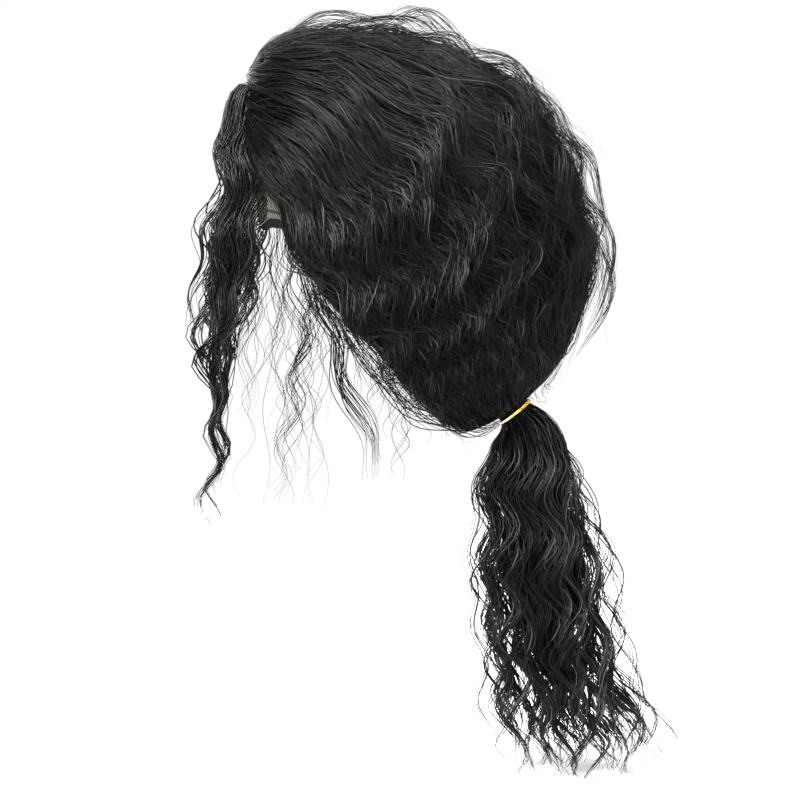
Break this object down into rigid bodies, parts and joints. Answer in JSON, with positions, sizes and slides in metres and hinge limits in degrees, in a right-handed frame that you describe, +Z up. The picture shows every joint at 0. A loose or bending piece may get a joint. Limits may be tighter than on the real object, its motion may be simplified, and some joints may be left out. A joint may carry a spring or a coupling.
{
  "type": "curly costume wig",
  "caption": "Dark curly wig on a net cap: hair swept back over the crown, gathered at the nape in an elastic tie, with a hanging ponytail and long loose forelocks at the face.",
  "frame": {"origin": "inside top of the cap, on the middle plane, where the wearer's crown touches it", "axes": "+Z up as worn, the face opening looks along -Y, +X is the wearer's left"},
  "size_m": [0.1915, 0.3238, 0.5273],
  "materials": {
    "hair": "wavy synthetic hair with a soft gloss",
    "net": "open net, dull",
    "edge_elastic": "woven elastic, dull",
    "tie_elastic": "smooth thin elastic"
  },
  "bodies": {
    "root": {"wig_cap": "net", "cap_edge_band": "edge_elastic", "swept_crown_hair": "hair", "left_side_hair": "hair", "right_side_hair": "hair", "left_forelock": "hair", "right_forelock": "hair", "hair_tie": "tie_elastic", "ponytail": "hair"}
  },
  "joints": []
}
